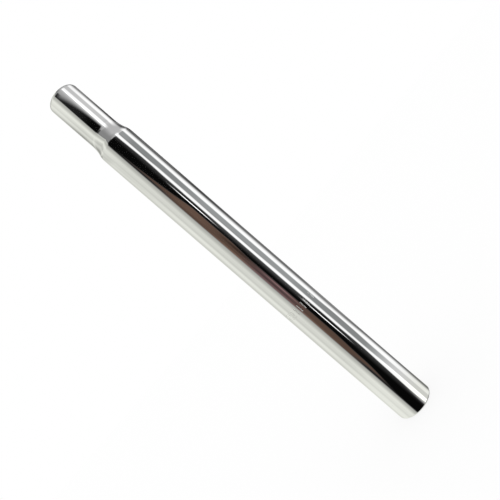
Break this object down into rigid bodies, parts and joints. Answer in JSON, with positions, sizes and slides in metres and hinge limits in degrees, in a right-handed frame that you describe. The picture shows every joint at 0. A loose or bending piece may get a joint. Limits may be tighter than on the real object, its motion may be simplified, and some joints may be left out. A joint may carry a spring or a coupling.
{
  "type": "bicycle seatpost",
  "caption": "Straight chrome-plated steel bicycle seatpost: a plain round tube, open at both ends, swaged down at the top to a narrower neck for the saddle clamp.",
  "frame": {"origin": "centre of the cut lower end, on the tube's axis", "axes": "+Z along the tube's axis, up towards the saddle's neck; +X and +Y are free, because the post is round"},
  "size_m": [0.0264, 0.0264, 0.3],
  "materials": {
    "chrome": "bright chrome plating on drawn and polished steel tube"
  },
  "bodies": {
    "root": {"seatpost": "chrome"}
  },
  "joints": []
}
